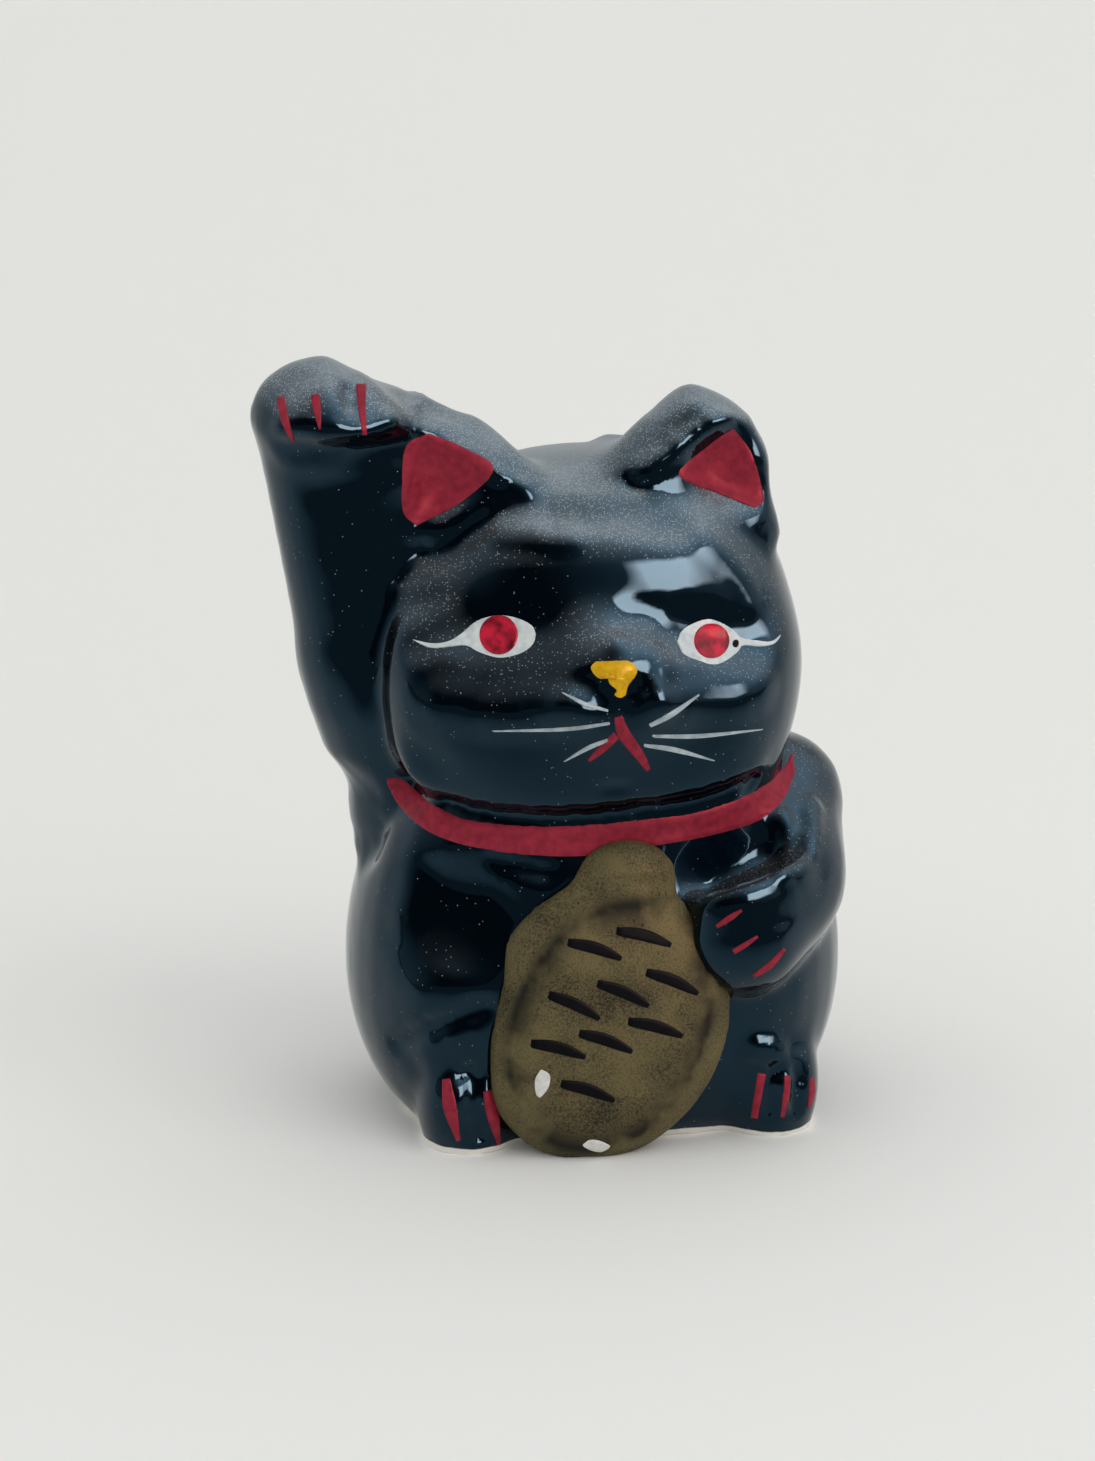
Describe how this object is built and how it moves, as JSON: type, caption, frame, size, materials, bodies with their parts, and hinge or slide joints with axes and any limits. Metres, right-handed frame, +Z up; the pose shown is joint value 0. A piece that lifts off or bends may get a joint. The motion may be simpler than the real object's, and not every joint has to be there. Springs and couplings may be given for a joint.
{
  "type": "lucky cat figurine",
  "caption": "Seated glazed ceramic lucky cat ornament, right forepaw raised beside the ear, gold coin plaque held on its belly, red collar; stands on a flat base.",
  "frame": {"origin": "under the middle of the figurine's box, on the surface that it stands on", "axes": "+Z up; the cat faces -Y, so its own left side is at +X and its raised right arm at -X"},
  "size_m": [0.0568, 0.0414, 0.0747],
  "materials": {
    "black_glaze": "black lead-free glaze, very glossy, dusty on upward faces",
    "gold_enamel": "matt antique gold paint with dark rubbed-in stain",
    "red_enamel": "brushed red enamel, semi-gloss",
    "white_enamel": "brushed white enamel, semi-gloss",
    "yellow_enamel": "brushed yellow enamel, semi-gloss"
  },
  "bodies": {
    "root": {"head_shell": "black_glaze", "torso_shell": "black_glaze", "right_ear": "black_glaze", "left_ear": "black_glaze", "raised_right_arm": "black_glaze", "lowered_left_arm": "black_glaze", "right_hind_paw": "black_glaze", "left_hind_paw": "black_glaze", "tail": "black_glaze", "coin_plaque": "gold_enamel", "coin_knob": "gold_enamel", "collar_front": "red_enamel", "collar_back": "red_enamel", "right_eye_white": "white_enamel", "left_eye_white": "white_enamel", "right_iris": "red_enamel", "left_iris": "red_enamel", "nose_patch": "yellow_enamel", "mouth": "red_enamel", "right_upper_whisker": "white_enamel", "right_middle_whisker": "white_enamel", "right_lower_whisker": "white_enamel", "left_upper_whisker": "white_enamel", "left_middle_whisker": "white_enamel", "left_lower_whisker": "white_enamel", "right_ear_lining": "red_enamel", "left_ear_lining": "red_enamel", "raised_paw_claw_1": "red_enamel", "raised_paw_claw_2": "red_enamel", "raised_paw_claw_3": "red_enamel", "lowered_paw_claw_1": "red_enamel", "lowered_paw_claw_2": "red_enamel", "lowered_paw_claw_3": "red_enamel", "right_hind_paw_claw_1": "red_enamel", "right_hind_paw_claw_2": "red_enamel", "left_hind_paw_claw_1": "red_enamel", "left_hind_paw_claw_2": "red_enamel", "left_hind_paw_claw_3": "red_enamel"}
  },
  "joints": []
}
